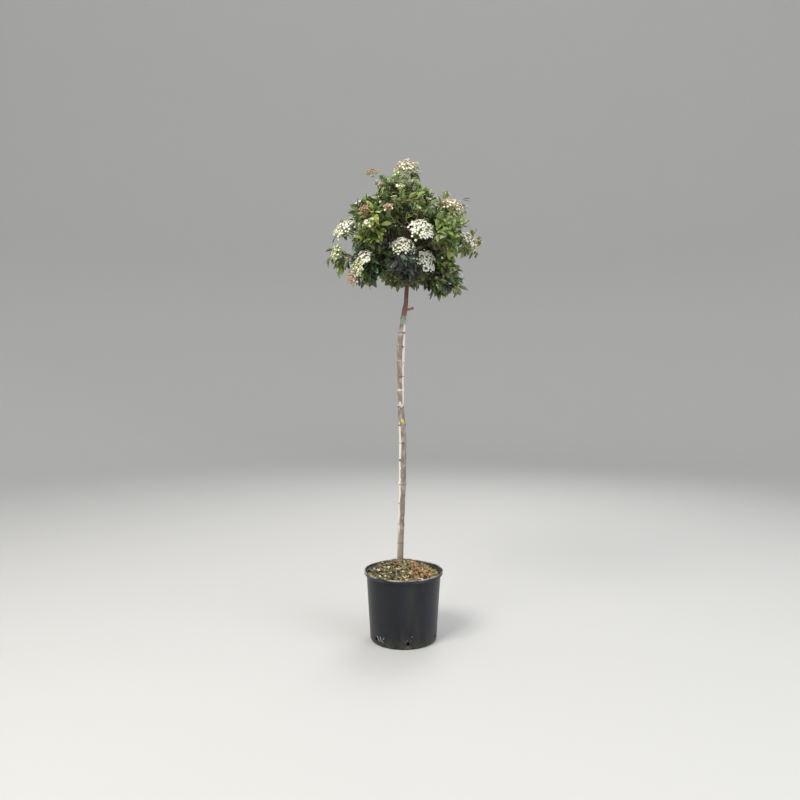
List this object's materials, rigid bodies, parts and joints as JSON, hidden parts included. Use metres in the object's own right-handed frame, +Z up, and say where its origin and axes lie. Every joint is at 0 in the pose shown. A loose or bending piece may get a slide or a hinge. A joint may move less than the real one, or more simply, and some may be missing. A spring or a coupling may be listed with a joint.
{
  "type": "potted laurustinus standard",
  "caption": "Evergreen shrub grown as a standard: a rounded flowering crown on a clear, slightly crooked stem, planted in a round black nursery pot of bark compost.",
  "frame": {"origin": "centre of the pot's flat underside, on the surface that the plant stands on", "axes": "+Z up along the stem, +X to the right and +Y away from the camera as the picture sees the plant, so the front faces -Y"},
  "size_m": [0.5713, 0.5241, 1.7164],
  "materials": {
    "pot": "blue-black moulded nursery plastic, satin, dusty and scuffed near the foot, paler along the rim",
    "soil": "matt bark mulch over compost, grey-tan to orange-brown with moss",
    "bark": "smooth grey-brown bark with node rings, scars and lichen",
    "leaf": "glossy dark evergreen leaves with paler undersides, white blossom and pink-brown buds"
  },
  "bodies": {
    "root": {"bough_back_left": "bark", "bough_back_right": "bark", "bough_front": "bark", "bough_left": "bark", "bough_low_back": "bark", "bough_low_front": "bark", "bough_low_left": "bark", "bough_low_right": "bark", "bough_right": "bark", "bough_top": "bark", "foliage_back_arm": "leaf", "foliage_back_left": "leaf", "foliage_back_right": "leaf", "foliage_front": "leaf", "foliage_front_left": "leaf", "foliage_front_right": "leaf", "foliage_left": "leaf", "foliage_left_arm_high": "leaf", "foliage_left_arm_low": "leaf", "foliage_low_back": "leaf", "foliage_low_front": "leaf", "foliage_low_left": "leaf", "foliage_low_right": "leaf", "foliage_right": "leaf", "foliage_right_arm": "leaf", "foliage_top": "leaf", "foliage_top_shoot": "leaf", "foliage_upper_back": "leaf", "foliage_upper_front": "leaf", "foliage_upper_left_shoot": "leaf", "foliage_upper_right": "leaf", "pot": "pot", "pruned_stub": "bark", "soil": "soil", "trunk": "bark"}
  },
  "joints": []
}
